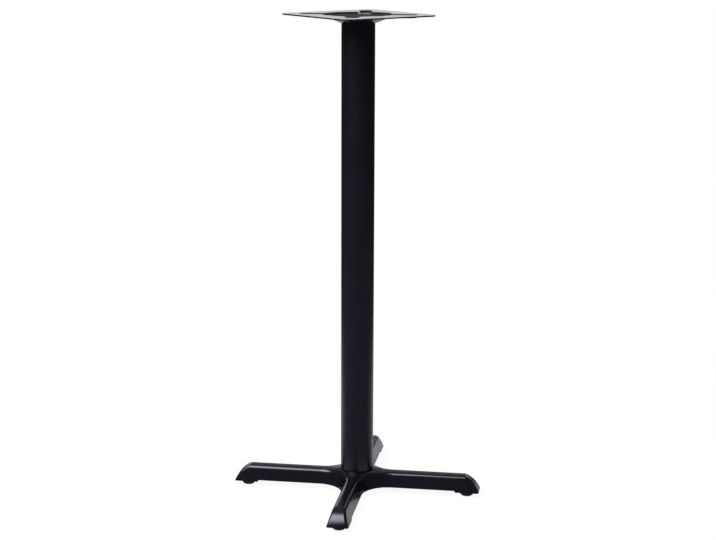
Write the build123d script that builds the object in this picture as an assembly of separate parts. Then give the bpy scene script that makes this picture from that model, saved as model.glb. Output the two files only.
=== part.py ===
from build123d import *
import os
from math import radians, sqrt, tan

# Bar table base: a cast cross foot, a steel column and a pressed top plate, clamped by one tie rod.
# Millimetres, +Z up, the origin on the floor under the column. The plate's sides follow X and Y,
# and the four legs run out along its diagonals.

# Overall sizes
OVERALL_HEIGHT = 1073.0
FOOT_SPREAD = 559.0

# Cross foot
LEG_WIDTH = 46.0
LEG_DEPTH = 33.0
LEG_DRAFT = 17.0
LEG_EDGE_RADIUS = 11.0
LEG_WALL = 5.5
LEG_ROOF = 6.5
TOE_LENGTH = 53.5
TOE_DROP = 3.5
TOE_STEP_RADIUS = 2.5
NOSE_LENGTH = 34.5
NOSE_BULGE = 5.5
NOSE_WALL = 7.0
NOSE_EDGE_RADIUS = 6.0

# Hub of the foot
HUB_RISE = 3.0
HUB_FLARE_RUN = 31.5
HUB_SEAT_LIP = 2.0
HUB_LAND = 8.0
HUB_BOSS_RADIUS = 20.0
HUB_BOSS_DROP = 6.5
HUB_RIB_THICKNESS = 6.0
SPIGOT_HEIGHT = 12.0
SPIGOT_WALL = 5.0
SPIGOT_CHAMFER = 1.5
SPIGOT_CLEARANCE = 0.4

# Column
COLUMN_DIAMETER = 73.0
COLUMN_WALL = 1.5

# Top plate
PLATE_SIDE = 250.0
PLATE_CORNER_RADIUS = 27.0
PLATE_SHEET = 3.0
PLATE_EDGE_RADIUS = 0.8
TROUGH_LAND = 6.0
TROUGH_WIDTH = 32.0
TROUGH_DEPTH = 4.0
TROUGH_SLOPE = 45.0
TROUGH_PLAN_RADIUS = 14.0
DISH_SEAT_LIP = 2.6
DISH_DEPTH = 11.0
DISH_SLOPE = 21.0
PILOT_DEPTH = 13.0
PILOT_SLOPE = 60.0
BEND_RADIUS = 2.0
SCREW_EDGE_DISTANCE = 21.0
SCREW_HOLE_RADIUS = 3.5
SCREW_LAND = 19.0

# Tie rod and its fasteners
ROD_RADIUS = 6.0
ROD_HOLE_CLEARANCE = 0.5
ROD_OVERHANG = 2.0
ROD_CHAMFER = 1.0
THREAD_CLEARANCE = 0.05
NUT_ACROSS_FLATS = 18.0
NUT_HEIGHT = 10.8
NUT_CHAMFER = 1.2
WASHER_RADIUS = 15.0
WASHER_THICKNESS = 2.5
LOCK_WASHER_WIDTH = 4.0
LOCK_WASHER_THICKNESS = 2.5
LOCK_WASHER_GAP = 2.0
LOCK_WASHER_SLANT = 20.0

# Floor glides
GLIDE_SETBACK = 28.5
GLIDE_SEAT_GAP = 0.3
GLIDE_FIT = 0.05
GLIDE_TRAVEL = 10.0
PAD_RADIUS = 16.0
PAD_HEIGHT = 12.0
PAD_DOME_RADIUS = 8.5
PAD_RIM_CHAMFER = 1.0
STUD_RADIUS = 4.0
STUD_GRIP = 10.0
STUD_TIP_CHAMFER = 1.0
STUD_HEAD_RADIUS = 7.0
STUD_HEAD_THICKNESS = 3.0
STUD_HEAD_COVER = 4.0
GLIDE_BOSS_RADIUS = 10.5
GLIDE_BOSS_WEB = 5.0
GLIDE_HOLE_MARGIN = 2.0

# Heights, from the floor up
TOE_EDGE_Z = PAD_HEIGHT + GLIDE_SEAT_GAP
LEG_EDGE_Z = TOE_EDGE_Z + TOE_DROP
LEG_TOP_Z = LEG_EDGE_Z + LEG_DEPTH
LEG_ROOF_Z = LEG_TOP_Z - LEG_ROOF
HUB_SEAT_Z = LEG_TOP_Z + HUB_RISE
HUB_BOSS_Z = LEG_ROOF_Z - HUB_BOSS_DROP
TROUGH_FLOOR_Z = OVERALL_HEIGHT - TROUGH_DEPTH
DISH_FLOOR_Z = TROUGH_FLOOR_Z - DISH_DEPTH
COLUMN_TOP_Z = DISH_FLOOR_Z - PLATE_SHEET
PILOT_FLOOR_Z = DISH_FLOOR_Z - PILOT_DEPTH
STACK_HEIGHT = WASHER_THICKNESS + LOCK_WASHER_THICKNESS + NUT_HEIGHT
STUD_TOP_Z = PAD_HEIGHT + GLIDE_TRAVEL + STUD_GRIP

# Radii, from the column out
ROD_HOLE_RADIUS = ROD_RADIUS + ROD_HOLE_CLEARANCE
COLUMN_RADIUS = COLUMN_DIAMETER / 2
COLUMN_BORE_RADIUS = COLUMN_RADIUS - COLUMN_WALL
SPIGOT_RADIUS = COLUMN_BORE_RADIUS - SPIGOT_CLEARANCE
HUB_SEAT_RADIUS = COLUMN_RADIUS + HUB_SEAT_LIP
HUB_FLARE_RADIUS = HUB_SEAT_RADIUS + HUB_FLARE_RUN
TIP_RADIUS = FOOT_SPREAD / 2
GLIDE_CIRCLE_RADIUS = TIP_RADIUS - GLIDE_SETBACK
PILOT_RADIUS = SPIGOT_RADIUS - (BEND_RADIUS + PLATE_SHEET) * tan(radians(PILOT_SLOPE / 2))
DISH_FLOOR_RADIUS = COLUMN_RADIUS + DISH_SEAT_LIP - PLATE_SHEET * tan(radians(DISH_SLOPE / 2))
DISH_RADIUS = DISH_FLOOR_RADIUS + DISH_DEPTH / tan(radians(DISH_SLOPE))
TROUGH_RADIUS = DISH_RADIUS + TROUGH_LAND + TROUGH_DEPTH / tan(radians(TROUGH_SLOPE))
SCREW_SPACING = PLATE_SIDE - 2 * SCREW_EDGE_DISTANCE
TROUGH_REACH = SCREW_SPACING / sqrt(2) - SCREW_LAND

# A face of the foot that slopes less than a top is level, one that slopes more than a nose is a wall
TOP_SLOPE = 25.0
NOSE_SLOPE = 60.0
LEVEL_TOLERANCE = 0.01

STANDING = (Align.CENTER, Align.CENTER, Align.MIN)
CORNERS = {"front_right": -45, "back_right": 45, "back_left": 135, "front_left": 225}


def rotated(shape, angle):
    """The shape turned about the column axis."""
    return Rot(0, 0, angle) * shape


def ring(outer, inner, low, high):
    """A round ring or sleeve between two heights."""
    face = Pos(0, 0, low) * (Circle(outer) - Circle(inner))
    return extrude(face, high - low)


def disc(radius, low, high):
    """A round slug between two heights."""
    return extrude(Pos(0, 0, low) * Circle(radius), high - low)


def sloped_disc(top_radius, slope, low, high):
    """A disc whose side runs in at the slope, from its radius at the upper height."""
    low_radius = top_radius - (high - low) / tan(radians(slope))
    return Pos(0, 0, low) * Cone(low_radius, top_radius, high - low, align=STANDING)


def flat_face(shape, height):
    """The largest level face of the shape at the height."""
    level = shape.faces().filter_by(Axis.Z)
    at_height = level.filter_by(lambda f: abs(f.center().Z - height) < LEVEL_TOLERANCE)
    return at_height.sort_by(SortBy.AREA)[-1]


def slope_of(face):
    """Angle between the middle of a face and a level one that looks up."""
    return face.normal_at().get_angle(Vector(0, 0, 1))


def shared_edges(faces, other_faces):
    """Edges where a face of one list meets a face of the other."""
    others = other_faces.edges()
    return ShapeList(e for e in faces.edges() if any(e.is_same(o) for o in others))


# Cross foot

def half_width(height):
    """Half the width of a drafted leg at a height."""
    return LEG_WIDTH / 2 - (height - LEG_EDGE_Z) * tan(radians(LEG_DRAFT))


def web_radius():
    """Plan radius between two legs at the toe edge, which leaves the hub its land round the column."""
    hub_reach = HUB_SEAT_RADIUS + HUB_LAND
    return (hub_reach - half_width(HUB_SEAT_Z)) / (sqrt(2) - 1) - half_width(TOE_EDGE_Z)


def cross_plan(inset):
    """Plan of the four legs at the toe edge, walls moved in by the inset."""
    reach = TIP_RADIUS + LEG_DEPTH
    bar = Rectangle(2 * reach, 2 * (half_width(TOE_EDGE_Z) - inset))
    cross = bar + rotated(bar, 90)
    inner_corners = cross.vertices().sort_by_distance((0, 0, 0))[:4]
    return fillet(inner_corners, web_radius() + inset)


def nose_cutter(setback):
    """What lies outside the curved nose of the leg along +X, moved back by the setback."""
    start = (TIP_RADIUS - NOSE_LENGTH, LEG_TOP_Z)
    tip = (TIP_RADIUS, TOE_EDGE_Z)
    chord = Vector(tip[0] - start[0], tip[1] - start[1])
    normal = Vector(-chord.Y, chord.X).normalized()
    middle = (Vector(*start) + Vector(*tip)) / 2 + normal * NOSE_BULGE
    outside = TIP_RADIUS + 2 * LEG_DEPTH
    above = HUB_SEAT_Z + LEG_DEPTH
    outline = [
        ThreePointArc(start, (middle.X, middle.Y), tip),
        Polyline(tip, (tip[0], 0), (outside, 0), (outside, above), (start[0], above), start),
    ]
    face = make_face(Plane.XZ * Curve(outline))
    return Pos(-setback, 0, 0) * extrude(face, 2 * LEG_WIDTH, both=True)


def noses_cut(shape, setback):
    """The cross with its four legs ended by the nose curve."""
    cutter = nose_cutter(setback)
    for quarter in range(4):
        shape -= rotated(cutter, 90 * quarter)
    return shape


def hub_roof():
    """What lies above the leg tops and the flare that rises to the column seat."""
    far = TIP_RADIUS + 2 * LEG_DEPTH
    above = HUB_SEAT_Z + LEG_DEPTH
    bend = (HUB_FLARE_RUN ** 2 + HUB_RISE ** 2) / (2 * HUB_RISE)
    seat = (HUB_SEAT_RADIUS, HUB_SEAT_Z)
    flare = (HUB_FLARE_RADIUS, LEG_TOP_Z)
    outline = [
        RadiusArc(seat, flare, -bend),
        Polyline(flare, (far, LEG_TOP_Z), (far, above), (HUB_SEAT_RADIUS, above), seat),
    ]
    return revolve(make_face(Plane.XZ * Curve(outline)), Axis.Z)


def foot_outside():
    """Drafted cross with its curved noses, flared hub and rounded upper edges."""
    height = HUB_SEAT_Z - TOE_EDGE_Z
    body = extrude(Pos(0, 0, TOE_EDGE_Z) * cross_plan(0), height, taper=LEG_DRAFT)
    body = noses_cut(body - hub_roof(), 0)
    tops = body.faces().filter_by(lambda f: slope_of(f) < TOP_SLOPE)
    sides = body.faces().filter_by(lambda f: TOP_SLOPE < slope_of(f) < 90)
    body = fillet(shared_edges(tops, sides), LEG_EDGE_RADIUS)
    noses = body.faces().sort_by(SortBy.DISTANCE)[-4:]
    walls = body.faces().filter_by(lambda f: NOSE_SLOPE < slope_of(f) < 90)
    return fillet(shared_edges(noses, walls), NOSE_EDGE_RADIUS)


def foot_cavity():
    """Hollow under the foot, less the bosses and ribs that are left standing in it."""
    height = LEG_ROOF_Z - TOE_EDGE_Z
    cavity = extrude(Pos(0, 0, TOE_EDGE_Z) * cross_plan(LEG_WALL), height, taper=LEG_DRAFT)
    cavity = noses_cut(cavity, NOSE_WALL)
    cavity -= disc(HUB_BOSS_RADIUS, HUB_BOSS_Z, HUB_SEAT_Z)
    rib = Box(2 * HUB_FLARE_RADIUS, HUB_RIB_THICKNESS, HUB_SEAT_Z - HUB_BOSS_Z, align=STANDING)
    rib = Pos(0, 0, HUB_BOSS_Z) * rib
    cavity -= rotated(rib, 45)
    cavity -= rotated(rib, 135)
    web_z = (TOE_EDGE_Z + LEG_TOP_Z) / 2
    web = Box(GLIDE_BOSS_WEB, LEG_WIDTH, LEG_DEPTH, align=STANDING)
    web = Pos(GLIDE_CIRCLE_RADIUS, 0, web_z) * web
    boss = Pos(GLIDE_CIRCLE_RADIUS, 0, 0) * disc(GLIDE_BOSS_RADIUS, TOE_EDGE_Z, LEG_TOP_Z)
    for quarter in range(4):
        cavity -= rotated(boss + web, 90 * quarter)
    return cavity


def leg_relief():
    """What is cut away under the legs, as far out as the rounded step down to the toes."""
    step = TIP_RADIUS - TOE_LENGTH
    step_foot = (step + TOE_STEP_RADIUS, TOE_EDGE_Z)
    step_side = (step, TOE_EDGE_Z + TOE_STEP_RADIUS)
    outline = [
        Polyline(step_side, (step, LEG_EDGE_Z), (0, LEG_EDGE_Z), (0, 0), (step_foot[0], 0), step_foot),
        RadiusArc(step_foot, step_side, TOE_STEP_RADIUS),
    ]
    return revolve(make_face(Plane.XZ * Curve(outline)), Axis.Z)


def base_casting():
    """The whole foot: outside less the hollow, raised leg edges, column spigot and screw holes."""
    casting = foot_outside() - foot_cavity() - leg_relief()
    spigot = ring(SPIGOT_RADIUS, SPIGOT_RADIUS - SPIGOT_WALL, HUB_SEAT_Z, HUB_SEAT_Z + SPIGOT_HEIGHT)
    rim = spigot.faces().sort_by(Axis.Z)[-1].edges().sort_by(SortBy.LENGTH)[-1]
    casting += chamfer(rim, SPIGOT_CHAMFER)
    casting -= disc(ROD_HOLE_RADIUS, 0, HUB_SEAT_Z + SPIGOT_HEIGHT)
    hole = disc(STUD_RADIUS + GLIDE_FIT, 0, STUD_TOP_Z + GLIDE_HOLE_MARGIN)
    hole = Pos(GLIDE_CIRCLE_RADIUS, 0, 0) * hole
    for quarter in range(4):
        casting -= rotated(hole, 90 * quarter)
    return rotated(casting, 45)


# Column and top plate

def column_tube():
    """Plain round tube between the hub seat and the dish of the top plate."""
    return ring(COLUMN_RADIUS, COLUMN_BORE_RADIUS, HUB_SEAT_Z, COLUMN_TOP_Z)


def trough_plan(grow):
    """Plan of the pressed cross in the plate: a disc with four round-ended arms, grown all round."""
    arm = SlotCenterToCenter(2 * (TROUGH_REACH - TROUGH_WIDTH / 2), TROUGH_WIDTH)
    cross = Circle(TROUGH_RADIUS) + rotated(arm, 45) + rotated(arm, 135)
    notches = cross.vertices().group_by(SortBy.DISTANCE)[0]
    cross = fillet(notches, TROUGH_PLAN_RADIUS)
    if grow:
        cross = offset(cross, grow)
    return cross


def pressed_form(top_z, sheet_offset):
    """Solid of the pressing below one face of the sheet: cross trough, dish and pilot."""
    trough_floor_z = top_z - TROUGH_DEPTH
    dish_floor_z = trough_floor_z - DISH_DEPTH
    trough_grow = sheet_offset * tan(radians(TROUGH_SLOPE / 2))
    trough = extrude(Pos(0, 0, top_z) * trough_plan(trough_grow), -TROUGH_DEPTH, taper=TROUGH_SLOPE)
    dish_radius = DISH_RADIUS + sheet_offset * tan(radians(DISH_SLOPE / 2))
    dish = sloped_disc(dish_radius, DISH_SLOPE, dish_floor_z, trough_floor_z)
    pilot_radius = PILOT_RADIUS + sheet_offset * tan(radians(PILOT_SLOPE / 2))
    pilot = sloped_disc(pilot_radius, PILOT_SLOPE, dish_floor_z - PILOT_DEPTH, dish_floor_z)
    return trough + dish + pilot


def bends_rounded(plate, top_z, convex_radius, concave_radius):
    """The plate with the bends of one face rounded, from the rim inwards."""
    levels = (0, TROUGH_DEPTH, TROUGH_DEPTH + DISH_DEPTH, TROUGH_DEPTH + DISH_DEPTH + PILOT_DEPTH)
    for level in levels[:-1]:
        floor = flat_face(plate, top_z - level)
        opening = floor.inner_wires().sort_by(SortBy.LENGTH)[-1]
        plate = fillet(opening.edges(), convex_radius)
    for level in levels[1:]:
        floor = flat_face(plate, top_z - level)
        plate = fillet(floor.outer_wire().edges(), concave_radius)
    return plate


def top_plate():
    """Pressed square plate: flat rim, cross trough, dish and the pilot that centres the column."""
    rim_z = OVERALL_HEIGHT
    under_z = rim_z - PLATE_SHEET
    square = RectangleRounded(PLATE_SIDE, PLATE_SIDE, PLATE_CORNER_RADIUS)
    plate = extrude(Pos(0, 0, under_z) * square, PLATE_SHEET)
    plate = fillet(plate.faces().filter_by(Axis.Z).edges(), PLATE_EDGE_RADIUS)
    plate += pressed_form(under_z, PLATE_SHEET)
    plate -= pressed_form(rim_z, 0)
    plate = bends_rounded(plate, rim_z, BEND_RADIUS + PLATE_SHEET, BEND_RADIUS)
    plate = bends_rounded(plate, under_z, BEND_RADIUS, BEND_RADIUS + PLATE_SHEET)
    plate -= disc(ROD_HOLE_RADIUS, PILOT_FLOOR_Z - PLATE_SHEET, rim_z)
    for spot in GridLocations(SCREW_SPACING, SCREW_SPACING, 2, 2):
        plate -= spot * disc(SCREW_HOLE_RADIUS, under_z, rim_z)
    return plate


# Tie rod and its fasteners

def tie_rod():
    """Threaded rod from under the lower nut to above the upper one."""
    low = HUB_BOSS_Z - STACK_HEIGHT - ROD_OVERHANG
    high = PILOT_FLOOR_Z + STACK_HEIGHT + ROD_OVERHANG
    rod = disc(ROD_RADIUS, low, high)
    return chamfer(rod.edges().filter_by(GeomType.CIRCLE), ROD_CHAMFER)


def washer(low):
    """Flat washer with its lower face at the height."""
    return ring(WASHER_RADIUS, ROD_HOLE_RADIUS, low, low + WASHER_THICKNESS)


def lock_washer(low):
    """Split spring washer, pressed flat, with its lower face at the height."""
    inner = ROD_RADIUS + THREAD_CLEARANCE
    outer = inner + LOCK_WASHER_WIDTH
    split = Rot(LOCK_WASHER_SLANT, 0, 0) * Box(2 * outer, LOCK_WASHER_GAP, 4 * LOCK_WASHER_THICKNESS)
    split = Pos(outer, 0, low + LOCK_WASHER_THICKNESS / 2) * split
    return ring(outer, inner, low, low + LOCK_WASHER_THICKNESS) - split


def nut(low):
    """Hexagon nut with chamfered corners, its lower face at the height."""
    hexagon = RegularPolygon(NUT_ACROSS_FLATS / 2, 6, major_radius=False)
    hexagon -= Circle(ROD_RADIUS + THREAD_CLEARANCE)
    turned = disc(NUT_ACROSS_FLATS / sqrt(3), low, low + NUT_HEIGHT)
    turned = chamfer(turned.edges().filter_by(GeomType.CIRCLE), NUT_CHAMFER)
    return turned & extrude(Pos(0, 0, low) * hexagon, NUT_HEIGHT)


# Floor glides

def glide_stud():
    """Threaded stud with its head sunk in the pad, on the column axis."""
    shank = disc(STUD_RADIUS, STUD_HEAD_COVER, STUD_TOP_Z)
    shank = chamfer(shank.edges().sort_by(Axis.Z)[-1], STUD_TIP_CHAMFER)
    return shank + disc(STUD_HEAD_RADIUS, STUD_HEAD_COVER, STUD_HEAD_COVER + STUD_HEAD_THICKNESS)


def glide_pad():
    """Domed pad moulded round the stud's head, on the column axis."""
    floor_radius = PAD_RADIUS - PAD_DOME_RADIUS
    outline = [
        Line((0, 0), (floor_radius, 0)),
        CenterArc((floor_radius, PAD_DOME_RADIUS), PAD_DOME_RADIUS, start_angle=270, arc_size=90),
        Polyline((PAD_RADIUS, PAD_DOME_RADIUS), (PAD_RADIUS, PAD_HEIGHT - PAD_RIM_CHAMFER),
                 (PAD_RADIUS - PAD_RIM_CHAMFER, PAD_HEIGHT), (0, PAD_HEIGHT), (0, 0)),
    ]
    return revolve(make_face(Plane.XZ * Curve(outline)), Axis.Z) - glide_stud()


# Assembly

def bar_table_base():
    """Every piece by its name."""
    pieces = {
        "base_casting": base_casting(),
        "column_tube": column_tube(),
        "top_plate": top_plate(),
        "tie_rod": tie_rod(),
        "top_washer": washer(PILOT_FLOOR_Z),
        "top_lock_washer": lock_washer(PILOT_FLOOR_Z + WASHER_THICKNESS),
        "top_nut": nut(PILOT_FLOOR_Z + WASHER_THICKNESS + LOCK_WASHER_THICKNESS),
        "bottom_washer": washer(HUB_BOSS_Z - WASHER_THICKNESS),
        "bottom_lock_washer": lock_washer(HUB_BOSS_Z - WASHER_THICKNESS - LOCK_WASHER_THICKNESS),
        "bottom_nut": nut(HUB_BOSS_Z - STACK_HEIGHT),
    }
    for corner, angle in CORNERS.items():
        place = Rot(0, 0, angle) * Pos(GLIDE_CIRCLE_RADIUS, 0, 0)
        pieces[f"glide_stud_{corner}"] = place * glide_stud()
        pieces[f"glide_pad_{corner}"] = place * glide_pad()
    return pieces


os.makedirs("parts", exist_ok=True)
for name, piece in bar_table_base().items():
    export_step(piece, f"parts/{name}.step")
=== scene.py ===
import math

import bpy
from bpy.props import FloatProperty, FloatVectorProperty, IntProperty, PointerProperty
from mathutils import Matrix, Vector


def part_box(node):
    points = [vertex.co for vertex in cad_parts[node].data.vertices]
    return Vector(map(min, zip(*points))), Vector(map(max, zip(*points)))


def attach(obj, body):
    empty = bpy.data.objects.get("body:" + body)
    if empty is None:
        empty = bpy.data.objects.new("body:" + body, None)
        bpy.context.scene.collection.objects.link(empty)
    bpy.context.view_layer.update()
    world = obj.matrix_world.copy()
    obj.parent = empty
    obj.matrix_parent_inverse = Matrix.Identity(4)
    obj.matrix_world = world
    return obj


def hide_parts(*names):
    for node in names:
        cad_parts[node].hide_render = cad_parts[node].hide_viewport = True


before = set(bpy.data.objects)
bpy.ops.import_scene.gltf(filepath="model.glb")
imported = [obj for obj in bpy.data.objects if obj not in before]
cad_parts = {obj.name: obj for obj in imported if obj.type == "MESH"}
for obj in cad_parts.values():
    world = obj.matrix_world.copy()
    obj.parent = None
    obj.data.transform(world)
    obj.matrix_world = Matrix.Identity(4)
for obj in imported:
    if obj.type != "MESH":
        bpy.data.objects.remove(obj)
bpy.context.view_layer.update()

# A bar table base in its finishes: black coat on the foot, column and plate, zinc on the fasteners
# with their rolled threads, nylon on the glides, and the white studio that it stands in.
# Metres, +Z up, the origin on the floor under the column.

bl_info = {
    "name": "Bar table base",
    "version": (1, 0, 0),
    "blender": (4, 5, 0),
    "location": "3D View > Sidebar > Table Base",
    "description": "Finishes, threads and studio for a cross-foot bar table base",
    "category": "Object",
}

CORNERS = ("front_right", "back_right", "back_left", "front_left")
NUTS_AND_WASHERS = ("top_nut", "top_washer", "top_lock_washer",
                    "bottom_nut", "bottom_washer", "bottom_lock_washer")
WHITE = (1.0, 1.0, 1.0, 1.0)

# Light that the gloss shows, as stops of a place and a level. On the floor it is painted reflection, a
# glow that only the gloss sees, in metres from the column: a painted pool of light round it on the
# camera's side, and a painted white glow behind it, both graded across or along the camera's line. Nearer
# than the first stops below, the gloss shows the true floor.
PAINTED_GLOW_AROUND = ((0.16, 0.0), (0.26, 1.0))
POOL_AROUND = ((0.26, 0.20), (0.85, 0.25), (1.9, 0.19), (3.7, 0.11), (8.0, 0.03))
POOL_ALONG = ((0.0, 1.0), (0.8, 0.06))
BACK_GLOW_ACROSS = ((0.55, 1.0), (1.0, 0.02))
BACK_GLOW_ALONG = ((-0.3, 0.0), (0.3, 0.74), (3.0, 0.40))

# The same in the backdrop, by how far a ray of length 1 goes across and along the camera's line, and up
BACKDROP_ACROSS = ((0.34, 1.0), (0.46, 0.10))
BACKDROP_ALONG = ((0.0, 0.10), (0.1, 1.0))
BACKDROP_UP = ((0.22, 1.0), (0.29, 0.8), (0.32, 0.04), (0.40, 0.05), (0.72, 0.48))

# Modelling: the plane that a line starts from, the distance of doubles, room round a thread's blank,
# and the angle from which an edge stays sharp
SEED_SIZE = 0.001
MERGE_DISTANCE = 0.00001
BLANK_MARGIN = 0.0001
SHARP_ANGLE = math.radians(25.0)

# Shape of a rolled thread, in pitches along the rod and outwards
ROOT_FLAT = 0.125
CREST_FLAT = 0.125
THREAD_DEPTH = 0.6134

# Turns of thread made past each end and cut off, turns that run over the plain shank of the rod,
# and the distance of doubles from turn to turn, in pitches
SPARE_TURNS = 2
SHANK_TURNS = 2
TURN_MERGE = 0.01

# Detail of a noise pattern, from smooth lumps to sharp grain, and the range that most of its values lie in
SMOOTH_DETAIL = 2.0
SOFT_DETAIL = 3.0
FINE_DETAIL = 4.0
SHARP_DETAIL = 5.0
NOISE_LOW = 0.3
NOISE_HIGH = 0.7


class CoatSettings(bpy.types.PropertyGroup):
    """Black powder coat of the foot, the column and the plate."""

    colour: FloatVectorProperty(
        name="Coat colour", description="Colour of the black coat", subtype="COLOR",
        size=3, min=0.0, max=1.0, default=(0.0027, 0.0027, 0.0055))
    thin_colour: FloatVectorProperty(
        name="Thin coat colour", description="Colour where the coat lies thinner", subtype="COLOR",
        size=3, min=0.0, max=1.0, default=(0.0038, 0.0038, 0.0070))
    patch_size: FloatProperty(
        name="Patch size", description="Size of the patches where the coat lies thinner", unit="LENGTH",
        min=0.001, max=0.5, precision=4, default=0.045)
    reflection: FloatProperty(
        name="Reflection", description="Specular level of the coat", subtype="FACTOR",
        min=0.0, max=1.0, default=0.50)
    reflection_tint: FloatVectorProperty(
        name="Reflection tint", description="Tint of what the coat reflects head on", subtype="COLOR",
        size=3, min=0.0, max=1.0, default=(0.86, 0.86, 1.0))
    foot_roughness: FloatProperty(
        name="Foot roughness", description="Middle roughness of the coat on the casting",
        subtype="FACTOR", min=0.0, max=1.0, default=0.20)
    column_roughness: FloatProperty(
        name="Column roughness", description="Middle roughness of the coat on the column",
        subtype="FACTOR", min=0.0, max=1.0, default=0.28)
    plate_roughness: FloatProperty(
        name="Plate roughness", description="Middle roughness of the coat on the plate",
        subtype="FACTOR", min=0.0, max=1.0, default=0.17)
    roughness_spread: FloatProperty(
        name="Roughness spread", description="How far the roughness goes either way", subtype="FACTOR",
        min=0.0, max=0.3, default=0.04)
    gloss_size: FloatProperty(
        name="Gloss patch size", description="Size of the patches where the gloss differs", unit="LENGTH",
        min=0.001, max=0.5, precision=4, default=0.012)
    peel_size: FloatProperty(
        name="Orange peel size", description="Size of the lumps in the coat", unit="LENGTH",
        min=0.0002, max=0.01, precision=4, default=0.0016)
    peel_depth: FloatProperty(
        name="Orange peel depth", description="Height of the lumps in the coat", unit="LENGTH",
        min=0.0, max=0.001, precision=6, default=0.000008)
    grain_size: FloatProperty(
        name="Cast grain size", description="Size of the sand grain of the casting", unit="LENGTH",
        min=0.0005, max=0.02, precision=4, default=0.0035)
    grain_depth: FloatProperty(
        name="Cast grain depth", description="Depth of the sand grain of the casting", unit="LENGTH",
        min=0.0, max=0.001, precision=6, default=0.000018)


class FastenerSettings(bpy.types.PropertyGroup):
    """Zinc-plated steel of the tie rod, the nuts, the washers and the glide studs."""

    colour: FloatVectorProperty(
        name="Zinc colour", description="Colour of the bright zinc plate", subtype="COLOR",
        size=3, min=0.0, max=1.0, default=(0.56, 0.57, 0.59))
    dull_colour: FloatVectorProperty(
        name="Dull zinc colour", description="Colour where the zinc has dulled", subtype="COLOR",
        size=3, min=0.0, max=1.0, default=(0.43, 0.43, 0.44))
    patch_size: FloatProperty(
        name="Patch size", description="Size of the patches where the zinc has dulled", unit="LENGTH",
        min=0.0005, max=0.1, precision=4, default=0.004)
    roughness: FloatProperty(
        name="Roughness", description="Middle roughness of the zinc plate", subtype="FACTOR",
        min=0.0, max=1.0, default=0.34)
    roughness_spread: FloatProperty(
        name="Roughness spread", description="How far the roughness goes either way", subtype="FACTOR",
        min=0.0, max=0.3, default=0.10)
    grain_size: FloatProperty(
        name="Zinc grain size", description="Size of the fine grain of the zinc", unit="LENGTH",
        min=0.0001, max=0.01, precision=5, default=0.0007)
    grain_depth: FloatProperty(
        name="Zinc grain depth", description="Depth of the fine grain of the zinc", unit="LENGTH",
        min=0.0, max=0.001, precision=6, default=0.000008)
    rod_pitch: FloatProperty(
        name="Rod pitch", description="Thread pitch of the tie rod", unit="LENGTH",
        min=0.0005, max=0.01, precision=5, default=0.00175)
    rod_thread: FloatProperty(
        name="Rod thread length", description="Length of thread at each end of the tie rod", unit="LENGTH",
        min=0.02, max=0.3, default=0.045)
    stud_pitch: FloatProperty(
        name="Stud pitch", description="Thread pitch of the glide studs", unit="LENGTH",
        min=0.0005, max=0.01, precision=5, default=0.00125)
    stud_diameter: FloatProperty(
        name="Stud diameter", description="Diameter over the thread of the glide studs", unit="LENGTH",
        min=0.003, max=0.02, precision=4, default=0.008)
    stud_head: FloatProperty(
        name="Stud head", description="Thickness of the stud's head in the pad", unit="LENGTH",
        min=0.001, max=0.01, precision=4, default=0.003)
    stud_neck: FloatProperty(
        name="Stud neck", description="Plain length between the stud's head and its thread", unit="LENGTH",
        min=0.0, max=0.02, precision=4, default=0.005)
    chamfer: FloatProperty(
        name="End chamfer", description="Chamfer at the ends of a thread", unit="LENGTH",
        min=0.0, max=0.005, precision=4, default=0.001)
    thread_steps: IntProperty(
        name="Thread steps", description="Steps in one turn of a thread", min=12, max=96, default=32)


class GlideSettings(bpy.types.PropertyGroup):
    """Moulded nylon of the floor glides."""

    colour: FloatVectorProperty(
        name="Nylon colour", description="Colour of the moulded pads", subtype="COLOR",
        size=3, min=0.0, max=1.0, default=(0.0085, 0.0085, 0.0090))
    pale_colour: FloatVectorProperty(
        name="Pale nylon colour", description="Colour where the pads are paler", subtype="COLOR",
        size=3, min=0.0, max=1.0, default=(0.0136, 0.0136, 0.0144))
    patch_size: FloatProperty(
        name="Patch size", description="Size of the patches where the pads are paler", unit="LENGTH",
        min=0.0005, max=0.1, precision=4, default=0.006)
    reflection: FloatProperty(
        name="Reflection", description="Specular level of the nylon", subtype="FACTOR",
        min=0.0, max=1.0, default=0.30)
    roughness: FloatProperty(
        name="Roughness", description="Middle roughness of the nylon", subtype="FACTOR",
        min=0.0, max=1.0, default=0.49)
    roughness_spread: FloatProperty(
        name="Roughness spread", description="How far the roughness goes either way", subtype="FACTOR",
        min=0.0, max=0.3, default=0.07)
    grain_size: FloatProperty(
        name="Mould grain size", description="Size of the spark-eroded mould grain", unit="LENGTH",
        min=0.0001, max=0.01, precision=5, default=0.0006)
    grain_depth: FloatProperty(
        name="Mould grain depth", description="Depth of the mould grain", unit="LENGTH",
        min=0.0, max=0.001, precision=6, default=0.00002)


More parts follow.
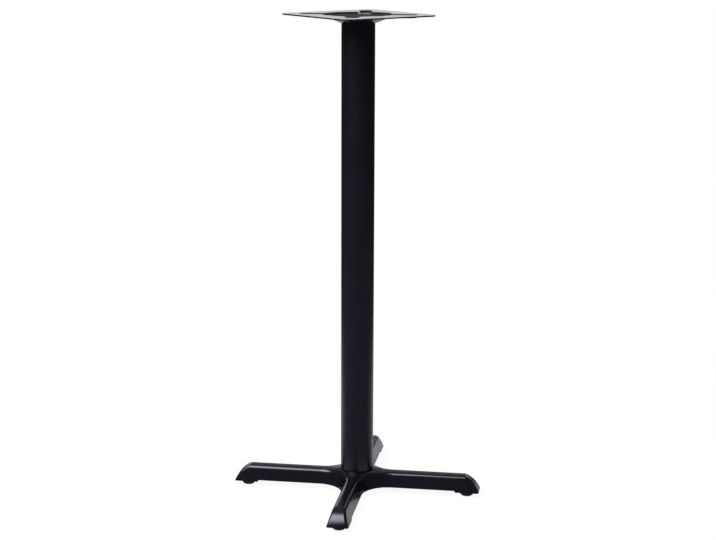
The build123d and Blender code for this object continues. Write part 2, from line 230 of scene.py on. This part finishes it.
class StageSettings(bpy.types.PropertyGroup):
    """Floor, light and camera."""

    floor_size: FloatProperty(
        name="Floor size", description="Length of each side of the floor", unit="LENGTH",
        min=10.0, max=500.0, default=160.0)
    floor_colour: FloatVectorProperty(
        name="Floor colour", description="Colour of the pale floor", subtype="COLOR",
        size=3, min=0.0, max=1.0, default=(0.60, 0.60, 0.60))
    # Painted reflection: the colour of the glow that only the gloss sees on the floor
    painted_glow_colour: FloatVectorProperty(
        name="Painted glow colour", description="Colour of the floor that the gloss shows", subtype="COLOR",
        size=3, min=0.0, max=2.0, default=(0.96, 0.96, 1.10))
    shadow: FloatProperty(
        name="Shadow", description="How deep the object's shadow on the floor can get", subtype="FACTOR",
        min=0.0, max=1.0, default=0.08)
    white_from: FloatProperty(
        name="White from", description="Light on the floor from which the camera sees it pure white",
        subtype="FACTOR", min=0.0, max=1.0, default=0.80)
    fade_start: FloatProperty(
        name="Fade start", description="Distance from the column at which the shadow starts to fade",
        unit="LENGTH", min=0.0, max=20.0, default=0.7)
    fade_end: FloatProperty(
        name="Fade end", description="Distance from the column at which the shadow has faded",
        unit="LENGTH", min=0.0, max=20.0, default=1.6)
    key_width: FloatProperty(
        name="Softbox width", description="Width of the softbox", unit="LENGTH",
        min=0.1, max=10.0, default=3.0)
    key_height: FloatProperty(
        name="Softbox height", description="Height of the softbox", unit="LENGTH",
        min=0.1, max=10.0, default=2.9)
    key_distance: FloatProperty(
        name="Softbox distance", description="How far the softbox is from the foot", unit="LENGTH",
        min=1.5, max=20.0, default=4.5)
    key_rise: FloatProperty(
        name="Softbox rise", description="How high the softbox stands over the floor, seen from the foot",
        subtype="ANGLE", default=math.radians(50.5))
    key_turn: FloatProperty(
        name="Softbox turn", description="How far the softbox is turned from the camera, to the left",
        subtype="ANGLE", default=math.radians(44.0))
    key_power: FloatProperty(
        name="Softbox power", description="Power of the softbox", unit="POWER",
        min=0.0, max=5000.0, default=275.0)
    fill_strength: FloatProperty(
        name="Fill strength", description="Strength of the light from all round", subtype="FACTOR",
        min=0.0, max=1.0, default=0.25)
    camera_distance: FloatProperty(
        name="Camera distance", description="Level distance from the column to the camera", unit="LENGTH",
        min=1.0, max=20.0, default=3.578)
    camera_height: FloatProperty(
        name="Camera height", description="Height of the camera over the floor", unit="LENGTH",
        min=0.0, max=5.0, default=1.308)
    camera_turn: FloatProperty(
        name="Camera turn", description="How far the camera is turned round the column", subtype="ANGLE",
        default=math.radians(-36.38))
    camera_tilt: FloatProperty(
        name="Camera tilt", description="How far the camera looks down", subtype="ANGLE",
        default=math.radians(12.55))
    camera_roll: FloatProperty(
        name="Camera roll", description="How far the camera leans over", subtype="ANGLE",
        default=math.radians(0.19))
    camera_aside: FloatProperty(
        name="Camera aside", description="How far the camera stands to the right of the column",
        unit="LENGTH", min=-1.0, max=1.0, precision=5, default=0.00095)
    lens: FloatProperty(
        name="Lens", description="Focal length of the camera in millimetres",
        min=10.0, max=300.0, default=83.2)


class TableBaseSettings(bpy.types.PropertyGroup):
    """Every size and colour of the table base, by group."""

    coat: PointerProperty(type=CoatSettings)
    fasteners: PointerProperty(type=FastenerSettings)
    glides: PointerProperty(type=GlideSettings)
    stage: PointerProperty(type=StageSettings)


def settings():
    """All the sizes and colours, from the scene."""
    return bpy.context.scene.table_base


# Modelling

def take(piece):
    """Selects one piece alone and makes it active."""
    bpy.ops.object.select_all(action="DESELECT")
    piece.select_set(True)
    bpy.context.view_layer.objects.active = piece


def draw_line(name, points):
    """Edges in the XZ plane, drawn point by point from one vertex."""
    bpy.ops.object.select_all(action="DESELECT")
    bpy.ops.mesh.primitive_plane_add(size=SEED_SIZE)
    line = bpy.context.object
    line.name = name
    bpy.ops.object.mode_set(mode="EDIT")
    bpy.ops.mesh.merge(type="CENTER")
    here = Vector((0.0, 0.0, 0.0))
    for number, (x, z) in enumerate(points):
        there = Vector((x, 0.0, z))
        if number:
            bpy.ops.mesh.extrude_vertices_move(TRANSFORM_OT_translate={"value": there - here})
        else:
            bpy.ops.transform.translate(value=there)
        here = there
    bpy.ops.object.mode_set(mode="OBJECT")
    return line


def close_mesh(piece, merge_distance):
    """Merges a piece's doubles and turns its faces outwards."""
    take(piece)
    bpy.ops.object.mode_set(mode="EDIT")
    bpy.ops.mesh.select_all(action="SELECT")
    bpy.ops.mesh.remove_doubles(threshold=merge_distance)
    bpy.ops.mesh.normals_make_consistent(inside=False)
    bpy.ops.object.mode_set(mode="OBJECT")


def turned(name, points, steps):
    """A turned solid: its half outline, spun about the Z axis."""
    piece = draw_line(name, points)
    bpy.ops.object.mode_set(mode="EDIT")
    bpy.ops.mesh.select_all(action="SELECT")
    bpy.ops.mesh.spin(steps=steps, angle=2 * math.pi, center=(0, 0, 0), axis=(0, 0, 1))
    bpy.ops.object.mode_set(mode="OBJECT")
    close_mesh(piece, MERGE_DISTANCE)
    return piece


def cut_level(piece, height, keep_below):
    """Cuts a piece at a height, closes the cut and drops one side."""
    take(piece)
    bpy.ops.object.mode_set(mode="EDIT")
    bpy.ops.mesh.select_all(action="SELECT")
    bpy.ops.mesh.bisect(plane_co=(0, 0, height), plane_no=(0, 0, 1), use_fill=True,
                        clear_outer=keep_below, clear_inner=not keep_below)
    bpy.ops.object.mode_set(mode="OBJECT")


def combine(piece, other, operation):
    """Joins a piece with another or trims it by the other, which is used up."""
    step = piece.modifiers.new("combine", "BOOLEAN")
    step.operation = operation
    step.solver = "EXACT"
    step.object = other
    take(piece)
    bpy.ops.object.modifier_apply(modifier=step.name)
    bpy.data.objects.remove(other)
    close_mesh(piece, MERGE_DISTANCE)


def thread(name, radius, pitch, low, high, chamfer, steps):
    """A threaded length of rod with chamfered ends."""
    root = radius - THREAD_DEPTH * pitch
    flank = (1 - 2 * ROOT_FLAT - CREST_FLAT) / 2
    start = low - SPARE_TURNS * pitch
    shape = ((root, 0), (root, ROOT_FLAT), (radius, ROOT_FLAT + flank),
             (radius, ROOT_FLAT + flank + CREST_FLAT), (root, 1 - ROOT_FLAT), (root, 1))
    piece = draw_line(name, [(x, start + share * pitch) for x, share in shape])
    screw = piece.modifiers.new("screw", "SCREW")
    screw.axis = "Z"
    screw.angle = 2 * math.pi
    screw.screw_offset = pitch
    screw.iterations = math.ceil((high - low) / pitch) + 2 * SPARE_TURNS
    screw.steps = steps
    screw.render_steps = steps
    take(piece)
    bpy.ops.object.modifier_apply(modifier=screw.name)
    close_mesh(piece, TURN_MERGE * pitch)
    cut_level(piece, low - pitch / 2, keep_below=False)
    cut_level(piece, high + pitch / 2, keep_below=True)
    outside = radius + BLANK_MARGIN
    outline = ((0, low), (radius - chamfer, low), (outside, low + chamfer),
               (outside, high - chamfer), (radius - chamfer, high), (0, high))
    combine(piece, turned("blank", outline, steps), "INTERSECT")
    return piece


def smooth(piece):
    """Shades a piece smooth but for its sharp edges."""
    take(piece)
    bpy.ops.object.shade_smooth_by_angle(angle=SHARP_ANGLE)


# Finishes

def new_finish(name):
    """A new material, its tree and its shader."""
    material = bpy.data.materials.new(name)
    material.use_nodes = True
    return material, material.node_tree, material.node_tree.nodes["Principled BSDF"]


def noise(tree, size, detail):
    """Noise on the piece's own coordinates, with lumps of about one size."""
    place = tree.nodes.new("ShaderNodeTexCoord")
    pattern = tree.nodes.new("ShaderNodeTexNoise")
    pattern.inputs["Scale"].default_value = 1 / size
    pattern.inputs["Detail"].default_value = detail
    tree.links.new(place.outputs["Object"], pattern.inputs["Vector"])
    return pattern.outputs["Fac"]


def ranged(tree, value, low, high, start, end):
    """A value's range from start to end, spread from one number to another."""
    step = tree.nodes.new("ShaderNodeMapRange")
    step.inputs["From Min"].default_value = start
    step.inputs["From Max"].default_value = end
    step.inputs["To Min"].default_value = low
    step.inputs["To Max"].default_value = high
    tree.links.new(value, step.inputs["Value"])
    return step.outputs["Result"]


def patches(tree, size, detail):
    """Patches that run from 0 to 1 and back."""
    return ranged(tree, noise(tree, size, detail), 0.0, 1.0, NOISE_LOW, NOISE_HIGH)


def around(tree, share, middle, spread):
    """A share from 0 to 1 as a value that goes either way from a middle one."""
    return ranged(tree, share, middle - spread, middle + spread, 0.0, 1.0)


def mixed(tree, share, colour, other):
    """Two colours mixed by a share from 0 to 1."""
    step = tree.nodes.new("ShaderNodeMix")
    step.data_type = "RGBA"
    step.inputs["A"].default_value = (*colour, 1.0)
    step.inputs["B"].default_value = (*other, 1.0)
    tree.links.new(share, step.inputs["Factor"])
    return step.outputs["Result"]


def bumped(tree, height, depth, below=None):
    """A bump from a pattern, over another bump where there is one."""
    step = tree.nodes.new("ShaderNodeBump")
    step.inputs["Strength"].default_value = 1.0
    step.inputs["Distance"].default_value = depth
    tree.links.new(height, step.inputs["Height"])
    if below:
        tree.links.new(below, step.inputs["Normal"])
    return step.outputs["Normal"]


def black_coat(name, roughness, cast):
    """Satin black powder coat, over a sand-cast surface or over smooth steel."""
    coat = settings().coat
    material, tree, shader = new_finish(name)
    thin = patches(tree, coat.patch_size, SOFT_DETAIL)
    gloss = patches(tree, coat.gloss_size, FINE_DETAIL)
    normal = bumped(tree, noise(tree, coat.peel_size, SMOOTH_DETAIL), coat.peel_depth)
    if cast:
        grain = noise(tree, coat.grain_size, SHARP_DETAIL)
        normal = bumped(tree, grain, coat.grain_depth, normal)
    tree.links.new(mixed(tree, thin, coat.colour, coat.thin_colour), shader.inputs["Base Color"])
    tree.links.new(around(tree, gloss, roughness, coat.roughness_spread), shader.inputs["Roughness"])
    tree.links.new(normal, shader.inputs["Normal"])
    shader.inputs["Specular IOR Level"].default_value = coat.reflection
    shader.inputs["Specular Tint"].default_value = (*coat.reflection_tint, 1.0)
    return material


def bright_zinc(name):
    """Bright zinc plate with a slightly uneven gloss."""
    zinc = settings().fasteners
    material, tree, shader = new_finish(name)
    dull = patches(tree, zinc.patch_size, FINE_DETAIL)
    grain = noise(tree, zinc.grain_size, SOFT_DETAIL)
    tree.links.new(mixed(tree, dull, zinc.colour, zinc.dull_colour), shader.inputs["Base Color"])
    tree.links.new(around(tree, dull, zinc.roughness, zinc.roughness_spread), shader.inputs["Roughness"])
    tree.links.new(bumped(tree, grain, zinc.grain_depth), shader.inputs["Normal"])
    shader.inputs["Metallic"].default_value = 1.0
    return material


def black_nylon(name):
    """Moulded black nylon with the grain of its mould."""
    nylon = settings().glides
    material, tree, shader = new_finish(name)
    pale = patches(tree, nylon.patch_size, SOFT_DETAIL)
    grain = noise(tree, nylon.grain_size, SMOOTH_DETAIL)
    tree.links.new(mixed(tree, pale, nylon.colour, nylon.pale_colour), shader.inputs["Base Color"])
    tree.links.new(around(tree, pale, nylon.roughness, nylon.roughness_spread), shader.inputs["Roughness"])
    tree.links.new(bumped(tree, grain, nylon.grain_depth), shader.inputs["Normal"])
    shader.inputs["Specular IOR Level"].default_value = nylon.reflection
    return material


def finish_node(node, material):
    """Puts a finish on a solid of the frame."""
    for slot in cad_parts[node].material_slots:
        slot.material = material


def add_piece(piece, body, node, material):
    """Gives a new piece its finish and lets it stand for a solid of the frame."""
    piece.data.materials.clear()
    piece.data.materials.append(material)
    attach(piece, body)
    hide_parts(node)


# Studio

def mixed_shader(tree, share, first, second):
    """Two shaders mixed by a share from 0 to 1."""
    step = tree.nodes.new("ShaderNodeMixShader")
    tree.links.new(share, step.inputs["Fac"])
    tree.links.new(first, step.inputs[1])
    tree.links.new(second, step.inputs[2])
    return step.outputs["Shader"]


def across_and_along(tree, place):
    """How far a point or a ray lies to either side of the camera's line, and how far along it."""
    turn = Matrix.Rotation(settings().stage.camera_turn, 3, "Z")
    parts = []
    for direction in (Vector((1, 0, 0)), Vector((0, 1, 0))):
        step = tree.nodes.new("ShaderNodeVectorMath")
        step.operation = "DOT_PRODUCT"
        step.inputs[1].default_value = turn @ direction
        tree.links.new(place, step.inputs[0])
        parts.append(step.outputs["Value"])
    side = tree.nodes.new("ShaderNodeMath")
    side.operation = "ABSOLUTE"
    tree.links.new(parts[0], side.inputs[0])
    return side.outputs["Value"], parts[1]


def chosen(tree, operation, values):
    """The MINIMUM or the MAXIMUM of some values."""
    best = values[0]
    for value in values[1:]:
        step = tree.nodes.new("ShaderNodeMath")
        step.operation = operation
        tree.links.new(best, step.inputs[0])
        tree.links.new(value, step.inputs[1])
        best = step.outputs["Value"]
    return best


def graded(tree, value, stops):
    """Levels of light that run from stop to stop along a value."""
    first, last = stops[0][0], stops[-1][0]
    ramp = tree.nodes.new("ShaderNodeValToRGB")
    tree.links.new(ranged(tree, value, 0.0, 1.0, first, last), ramp.inputs["Fac"])
    elements = ramp.color_ramp.elements
    for place, level in stops[1:-1]:
        elements.new((place - first) / (last - first))
    for element, (place, level) in zip(elements, stops):
        element.color = (level, level, level, 1.0)
    return ramp.outputs["Color"]


def painted_floor_glow(tree, place, distance):
    """Painted reflection: the glow that only the gloss sees on the floor, the pool of light and the glow
    behind it, by place.
    """
    across, along = across_and_along(tree, place)
    pool = chosen(tree, "MINIMUM", (graded(tree, distance, POOL_AROUND), graded(tree, along, POOL_ALONG)))
    back_glow = chosen(tree, "MINIMUM", (graded(tree, across, BACK_GLOW_ACROSS), graded(tree, along, BACK_GLOW_ALONG)))
    # Painted reflection: the floor gives off this light to the gloss only, though it is no lamp
    gloss_glow = tree.nodes.new("ShaderNodeEmission")
    gloss_glow.inputs["Color"].default_value = (*settings().stage.painted_glow_colour, 1.0)
    tree.links.new(chosen(tree, "MAXIMUM", (pool, back_glow)), gloss_glow.inputs["Strength"])
    return gloss_glow.outputs["Emission"]


def white_ground(tree, distance, glow):
    """The floor as the camera sees it: white, but for a faint shadow that fades far off."""
    stage = settings().stage
    shaded = tree.nodes.new("ShaderNodeBsdfDiffuse")
    shaded.inputs["Color"].default_value = (stage.shadow, stage.shadow, stage.shadow, 1.0)
    lift = tree.nodes.new("ShaderNodeEmission")
    lift.inputs["Strength"].default_value = 1.0 - stage.white_from * stage.shadow
    near = tree.nodes.new("ShaderNodeAddShader")
    tree.links.new(shaded.outputs["BSDF"], near.inputs[0])
    tree.links.new(lift.outputs["Emission"], near.inputs[1])
    away = ranged(tree, distance, 0.0, 1.0, stage.fade_start, stage.fade_end)
    return mixed_shader(tree, away, near.outputs["Shader"], glow)


def white_floor(name):
    """Pale floor, white to the camera; to the gloss the truly lit floor near the column and a painted glow
    further out that fades far off.
    """
    stage = settings().stage
    material, tree, shader = new_finish(name)
    material.cycles.emission_sampling = "NONE"
    tree.nodes.remove(shader)
    path = tree.nodes.new("ShaderNodeLightPath")
    place = tree.nodes.new("ShaderNodeTexCoord").outputs["Object"]
    length = tree.nodes.new("ShaderNodeVectorMath")
    length.operation = "LENGTH"
    tree.links.new(place, length.inputs[0])
    distance = length.outputs["Value"]

    diffuse = tree.nodes.new("ShaderNodeBsdfDiffuse")
    diffuse.inputs["Color"].default_value = (*stage.floor_colour, 1.0)
    pale = diffuse.outputs["BSDF"]
    glow = tree.nodes.new("ShaderNodeEmission").outputs["Emission"]
    # Painted reflection: further from the column the gloss sees this glow in place of the truly lit floor
    gloss_glow = painted_floor_glow(tree, place, distance)
    shown = mixed_shader(tree, graded(tree, distance, PAINTED_GLOW_AROUND), pale, gloss_glow)
    seen = white_ground(tree, distance, glow)

    surface = mixed_shader(tree, path.outputs["Is Glossy Ray"], pale, shown)
    surface = mixed_shader(tree, path.outputs["Is Transmission Ray"], surface, glow)
    surface = mixed_shader(tree, path.outputs["Is Camera Ray"], surface, seen)
    tree.links.new(surface, tree.nodes["Material Output"].inputs["Surface"])
    return material


# Operators

class TABLEBASE_OT_foot(bpy.types.Operator):
    """Coats the cast cross foot."""

    bl_idname = "table_base.foot"
    bl_label = "Cross foot"

    def execute(self, context):
        coat = black_coat("foot_coat_black", settings().coat.foot_roughness, cast=True)
        finish_node("base_casting", coat)
        return {"FINISHED"}


class TABLEBASE_OT_column(bpy.types.Operator):
    """Coats the column."""

    bl_idname = "table_base.column"
    bl_label = "Column"

    def execute(self, context):
        coat = black_coat("column_coat_black", settings().coat.column_roughness, cast=False)
        finish_node("column_tube", coat)
        return {"FINISHED"}


class TABLEBASE_OT_top_plate(bpy.types.Operator):
    """Coats the pressed top plate."""

    bl_idname = "table_base.top_plate"
    bl_label = "Top plate"

    def execute(self, context):
        coat = black_coat("plate_coat_black", settings().coat.plate_roughness, cast=False)
        finish_node("top_plate", coat)
        return {"FINISHED"}


class TABLEBASE_OT_tie_rod(bpy.types.Operator):
    """Models the tie rod with a rolled thread at each end."""

    bl_idname = "table_base.tie_rod"
    bl_label = "Tie rod"

    def execute(self, context):
        steel = settings().fasteners
        pitch = steel.rod_pitch
        low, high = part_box("tie_rod")
        radius = (high.x - low.x) / 2
        shank = radius - THREAD_DEPTH * pitch / 2
        shank_low = low.z + steel.rod_thread
        shank_high = high.z - steel.rod_thread
        outline = ((0, shank_low), (shank, shank_low), (shank, shank_high), (0, shank_high))
        rod = turned("tie_rod_threaded", outline, steel.thread_steps)
        overlap = SHANK_TURNS * pitch
        for start, end in ((low.z, shank_low + overlap), (shank_high - overlap, high.z)):
            length = thread("thread", radius, pitch, start, end, steel.chamfer, steel.thread_steps)
            combine(rod, length, "UNION")
        smooth(rod)
        add_piece(rod, "frame", "tie_rod", bright_zinc("rod_zinc"))
        return {"FINISHED"}


class TABLEBASE_OT_fasteners(bpy.types.Operator):
    """Plates the nuts and washers of the tie rod."""

    bl_idname = "table_base.fasteners"
    bl_label = "Nuts and washers"

    def execute(self, context):
        zinc = bright_zinc("fastener_zinc")
        for node in NUTS_AND_WASHERS:
            finish_node(node, zinc)
        return {"FINISHED"}


class TABLEBASE_OT_glides(bpy.types.Operator):
    """Models the threaded studs of the four glides and finishes their pads."""

    bl_idname = "table_base.glides"
    bl_label = "Floor glides"

    def execute(self, context):
        nylon = black_nylon("glide_nylon")
        zinc = bright_zinc("stud_zinc")
        master = self.threaded_stud(settings().fasteners)
        for corner in CORNERS:
            node = f"glide_stud_{corner}"
            low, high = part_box(node)
            take(master)
            bpy.ops.object.duplicate()
            stud = bpy.context.object
            stud.name = f"{node}_threaded"
            bpy.ops.transform.translate(value=((low.x + high.x) / 2, (low.y + high.y) / 2, 0.0))
            bpy.ops.object.transform_apply(location=True, rotation=True, scale=True)
            add_piece(stud, f"glide_{corner}", node, zinc)
            finish_node(f"glide_pad_{corner}", nylon)
        bpy.data.objects.remove(master)
        return {"FINISHED"}

    def threaded_stud(self, steel):
        """One stud on the Z axis: its head, a plain neck and the thread."""
        pitch = steel.stud_pitch
        low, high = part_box(f"glide_stud_{CORNERS[0]}")
        head = (high.x - low.x) / 2
        radius = steel.stud_diameter / 2
        neck = radius - THREAD_DEPTH * pitch
        neck_low = low.z + steel.stud_head
        thread_low = neck_low + steel.stud_neck
        neck_high = thread_low + pitch
        outline = ((0, low.z), (head, low.z), (head, neck_low), (neck, neck_low),
                   (neck, neck_high), (0, neck_high))
        stud = turned("stud", outline, steel.thread_steps)
        length = thread("thread", radius, pitch, thread_low, high.z, steel.chamfer, steel.thread_steps)
        combine(stud, length, "UNION")
        smooth(stud)
        return stud


class TABLEBASE_OT_stage(bpy.types.Operator):
    """Builds the white studio: floor, softbox, fill light and camera."""

    bl_idname = "table_base.stage"
    bl_label = "Studio"

    def execute(self, context):
        stage = settings().stage
        self.add_floor(stage)
        self.add_softbox(stage)
        self.light_world(stage)
        self.add_camera(stage)
        context.scene.view_settings.view_transform = "Standard"
        return {"FINISHED"}

    def add_floor(self, stage):
        """The floor that the base stands on."""
        bpy.ops.object.select_all(action="DESELECT")
        bpy.ops.mesh.primitive_plane_add(size=stage.floor_size)
        floor = bpy.context.object
        floor.name = "studio_floor"
        floor.data.materials.append(white_floor("studio_white_painted_glow"))

    def add_softbox(self, stage):
        """The one lamp, up to the left of the camera and aimed at the foot."""
        turn = Matrix.Rotation(stage.camera_turn - stage.key_turn, 4, "Z")
        rise = Matrix.Rotation(-stage.key_rise, 4, "X")
        place = turn @ rise @ Vector((0.0, -stage.key_distance, 0.0))
        aim = (-place).to_track_quat("-Z", "Y").to_euler()
        bpy.ops.object.select_all(action="DESELECT")
        bpy.ops.object.light_add(type="AREA", location=place, rotation=aim)
        key = bpy.context.object
        key.name = "softbox"
        key.data.shape = "RECTANGLE"
        key.data.size = stage.key_width
        key.data.size_y = stage.key_height
        key.data.energy = stage.key_power

    def light_world(self, stage):
        """Fill light from all round, a white backdrop to the camera and a graded one to the gloss."""
        world = bpy.data.worlds.new("studio_world")
        bpy.context.scene.world = world
        world.use_nodes = True
        world.cycles.sampling_method = "NONE"
        tree = world.node_tree
        path = tree.nodes.new("ShaderNodeLightPath")
        ray = tree.nodes.new("ShaderNodeTexCoord").outputs["Generated"]
        fill = tree.nodes["Background"]
        fill.inputs["Color"].default_value = WHITE
        fill.inputs["Strength"].default_value = stage.fill_strength
        backdrop = tree.nodes.new("ShaderNodeBackground")
        backdrop.inputs["Color"].default_value = WHITE
        gloss_glow = tree.nodes.new("ShaderNodeBackground")
        gloss_glow.inputs["Color"].default_value = WHITE
        across, along = across_and_along(tree, ray)
        height = tree.nodes.new("ShaderNodeSeparateXYZ")
        tree.links.new(ray, height.inputs["Vector"])
        shares = (graded(tree, across, BACKDROP_ACROSS), graded(tree, along, BACKDROP_ALONG),
                  graded(tree, height.outputs["Z"], BACKDROP_UP))
        tree.links.new(chosen(tree, "MINIMUM", shares), gloss_glow.inputs["Strength"])
        surface = mixed_shader(tree, path.outputs["Is Glossy Ray"], fill.outputs["Background"],
                               gloss_glow.outputs["Background"])
        for kind in ("Is Transmission Ray", "Is Camera Ray"):
            surface = mixed_shader(tree, path.outputs[kind], surface, backdrop.outputs["Background"])
        tree.links.new(surface, tree.nodes["World Output"].inputs["Surface"])

    def add_camera(self, stage):
        """The camera, where the photo was taken from."""
        turn = Matrix.Rotation(stage.camera_turn, 4, "Z")
        tilt = Matrix.Rotation(math.pi / 2 - stage.camera_tilt, 4, "X")
        roll = Matrix.Rotation(stage.camera_roll, 4, "Z")
        place = turn @ Vector((stage.camera_aside, -stage.camera_distance, stage.camera_height))
        bpy.ops.object.select_all(action="DESELECT")
        bpy.ops.object.camera_add(location=place, rotation=(turn @ tilt @ roll).to_euler())
        camera = bpy.context.object
        camera.name = "studio_camera"
        camera.data.lens = stage.lens
        bpy.context.scene.camera = camera


OPERATORS = (TABLEBASE_OT_foot, TABLEBASE_OT_column, TABLEBASE_OT_top_plate, TABLEBASE_OT_tie_rod,
             TABLEBASE_OT_fasteners, TABLEBASE_OT_glides, TABLEBASE_OT_stage)


class TABLEBASE_PT_panel(bpy.types.Panel):
    """Lists the pieces of the table base and their settings."""

    bl_idname = "TABLEBASE_PT_panel"
    bl_label = "Bar table base"
    bl_space_type = "VIEW_3D"
    bl_region_type = "UI"
    bl_category = "Table Base"

    def draw(self, context):
        for operator in OPERATORS:
            self.layout.operator(operator.bl_idname)
        for name in ("coat", "fasteners", "glides", "stage"):
            group = getattr(context.scene.table_base, name)
            box = self.layout.box()
            for prop in group.bl_rna.properties:
                if prop.identifier not in {"rna_type", "name"}:
                    box.prop(group, prop.identifier)


CLASSES = (CoatSettings, FastenerSettings, GlideSettings, StageSettings, TableBaseSettings,
           *OPERATORS, TABLEBASE_PT_panel)


def register():
    """Registers the classes and adds the settings to the scene."""
    for cls in CLASSES:
        bpy.utils.register_class(cls)
    bpy.types.Scene.table_base = PointerProperty(type=TableBaseSettings)


def unregister():
    """Takes the settings and the classes away again."""
    del bpy.types.Scene.table_base
    for cls in reversed(CLASSES):
        bpy.utils.unregister_class(cls)


def main():
    """Builds everything."""
    register()
    bpy.ops.table_base.foot()
    bpy.ops.table_base.column()
    bpy.ops.table_base.top_plate()
    bpy.ops.table_base.tie_rod()
    bpy.ops.table_base.fasteners()
    bpy.ops.table_base.glides()
    bpy.ops.table_base.stage()


if __name__ == "__main__":
    main()
